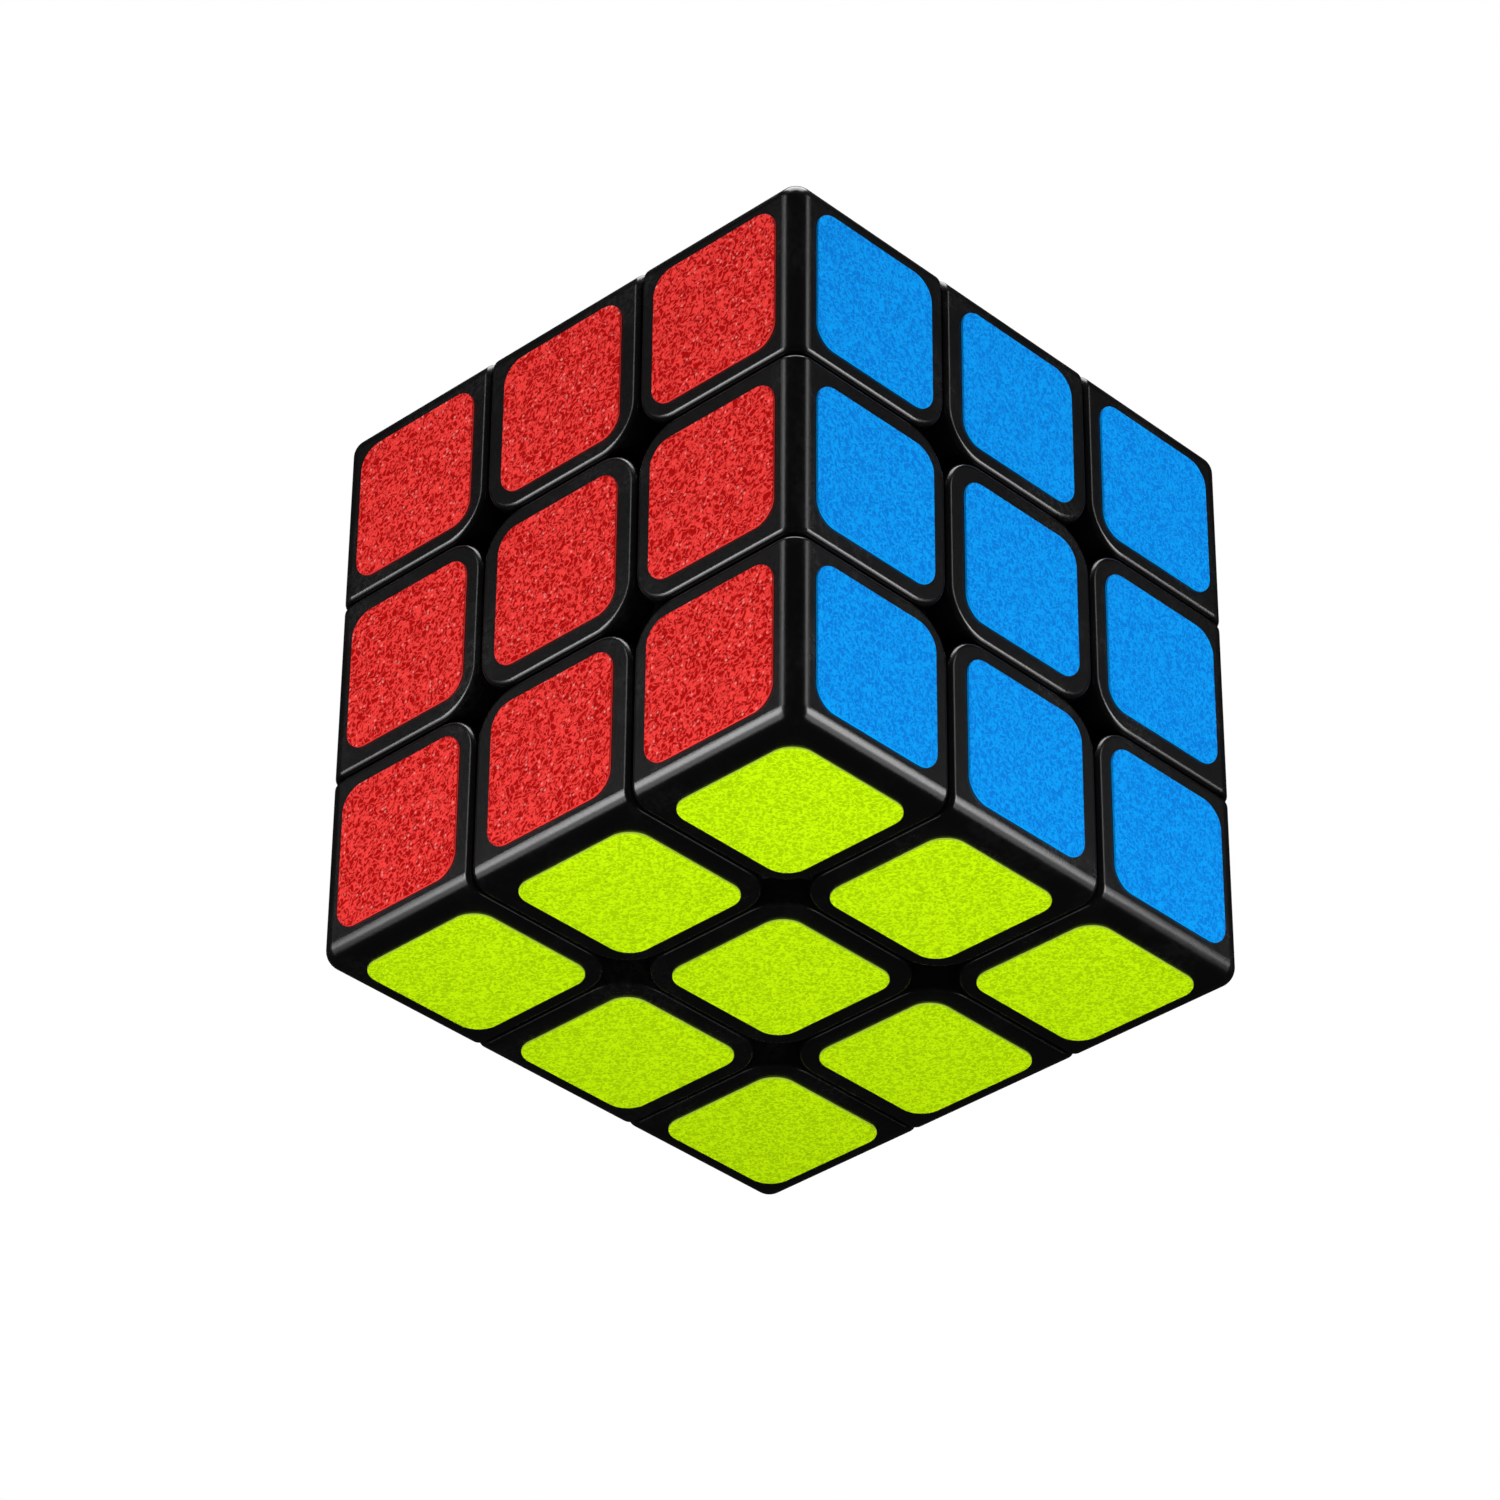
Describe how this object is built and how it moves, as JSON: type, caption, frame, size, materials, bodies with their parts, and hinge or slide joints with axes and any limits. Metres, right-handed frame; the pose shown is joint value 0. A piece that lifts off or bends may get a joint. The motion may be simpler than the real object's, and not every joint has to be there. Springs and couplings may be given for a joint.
{
  "type": "twisty puzzle cube",
  "caption": "Three-by-three twisty puzzle cube: black cubies with frosted coloured stickers around a sprung six-armed core; layers turn about the vertical axis.",
  "frame": {"origin": "middle of the core, which is the middle of the cube", "axes": "+Z through the white centre (up), -Z through the lime centre (rests on it), -Y through the red centre (front), +X through the blue centre (right)"},
  "size_m": [0.0564, 0.0564, 0.0564],
  "materials": {
    "shell_plastic": "satin black ABS",
    "inner_plastic": "plain moulded black ABS",
    "core_plastic": "natural white nylon",
    "screw_steel": "zinc-plated steel",
    "washer_steel": "plain steel",
    "spring_steel": "drawn spring steel",
    "sticker_white": "frosted grained vinyl",
    "sticker_lime": "frosted grained vinyl",
    "sticker_red": "frosted grained vinyl",
    "sticker_blue": "frosted grained vinyl",
    "sticker_orange": "frosted grained vinyl",
    "sticker_green": "frosted grained vinyl"
  },
  "bodies": {
    "core": {"core": "core_plastic", "centre_screws": "screw_steel", "screw_washers": "washer_steel", "centre_springs": "spring_steel", "middle_layer_feet": "inner_plastic", "edge_shell_middle_front_right": "shell_plastic", "edge_shell_middle_back_right": "shell_plastic", "edge_shell_middle_back_left": "shell_plastic", "edge_shell_middle_front_left": "shell_plastic", "middle_red_stickers": "sticker_red", "middle_blue_stickers": "sticker_blue", "middle_orange_stickers": "sticker_orange", "middle_green_stickers": "sticker_green"},
    "up_layer": {"up_layer_feet": "inner_plastic", "corner_shell_up_front_right": "shell_plastic", "corner_shell_up_back_right": "shell_plastic", "corner_shell_up_back_left": "shell_plastic", "corner_shell_up_front_left": "shell_plastic", "edge_shell_up_front": "shell_plastic", "edge_shell_up_right": "shell_plastic", "edge_shell_up_back": "shell_plastic", "edge_shell_up_left": "shell_plastic", "up_white_stickers": "sticker_white", "up_red_stickers": "sticker_red", "up_blue_stickers": "sticker_blue", "up_orange_stickers": "sticker_orange", "up_green_stickers": "sticker_green"},
    "down_layer": {"down_layer_feet": "inner_plastic", "corner_shell_down_front_right": "shell_plastic", "corner_shell_down_back_right": "shell_plastic", "corner_shell_down_back_left": "shell_plastic", "corner_shell_down_front_left": "shell_plastic", "edge_shell_down_front": "shell_plastic", "edge_shell_down_right": "shell_plastic", "edge_shell_down_back": "shell_plastic", "edge_shell_down_left": "shell_plastic", "down_lime_stickers": "sticker_lime", "down_red_stickers": "sticker_red", "down_blue_stickers": "sticker_blue", "down_orange_stickers": "sticker_orange", "down_green_stickers": "sticker_green"},
    "up_centre": {"centre_base_up": "inner_plastic", "centre_cap_up": "shell_plastic", "centre_sticker_up": "sticker_white"},
    "down_centre": {"centre_base_down": "inner_plastic", "centre_cap_down": "shell_plastic", "centre_sticker_down": "sticker_lime"},
    "front_centre": {"centre_base_front": "inner_plastic", "centre_cap_front": "shell_plastic", "centre_sticker_front": "sticker_red"},
    "right_centre": {"centre_base_right": "inner_plastic", "centre_cap_right": "shell_plastic", "centre_sticker_right": "sticker_blue"},
    "back_centre": {"centre_base_back": "inner_plastic", "centre_cap_back": "shell_plastic", "centre_sticker_back": "sticker_orange"},
    "left_centre": {"centre_base_left": "inner_plastic", "centre_cap_left": "shell_plastic", "centre_sticker_left": "sticker_green"}
  },
  "joints": [
    {"name": "layer_turn_up", "type": "hinge", "parent": "core", "child": "up_layer", "pos_m": [0, 0, 0], "axis": [0, 0, 1], "continuous": true},
    {"name": "layer_turn_down", "type": "hinge", "parent": "core", "child": "down_layer", "pos_m": [0, 0, 0], "axis": [0, 0, -1], "continuous": true},
    {"name": "sprung_centre_up", "type": "slide", "parent": "up_layer", "child": "up_centre", "axis": [0, 0, 1], "range_m": [0, 0.0008], "stiffness_N_per_m": 900, "springref_m": -0.002, "deforming": ["centre_springs"]},
    {"name": "sprung_centre_down", "type": "slide", "parent": "down_layer", "child": "down_centre", "axis": [0, 0, -1], "range_m": [0, 0.0008], "stiffness_N_per_m": 900, "springref_m": -0.002},
    {"name": "sprung_centre_front", "type": "slide", "parent": "core", "child": "front_centre", "axis": [0, -1, 0], "range_m": [0, 0.0008], "stiffness_N_per_m": 900, "springref_m": -0.002},
    {"name": "sprung_centre_right", "type": "slide", "parent": "core", "child": "right_centre", "axis": [1, 0, 0], "range_m": [0, 0.0008], "stiffness_N_per_m": 900, "springref_m": -0.002},
    {"name": "sprung_centre_back", "type": "slide", "parent": "core", "child": "back_centre", "axis": [0, 1, 0], "range_m": [0, 0.0008], "stiffness_N_per_m": 900, "springref_m": -0.002},
    {"name": "sprung_centre_left", "type": "slide", "parent": "core", "child": "left_centre", "axis": [-1, 0, 0], "range_m": [0, 0.0008], "stiffness_N_per_m": 900, "springref_m": -0.002}
  ]
}
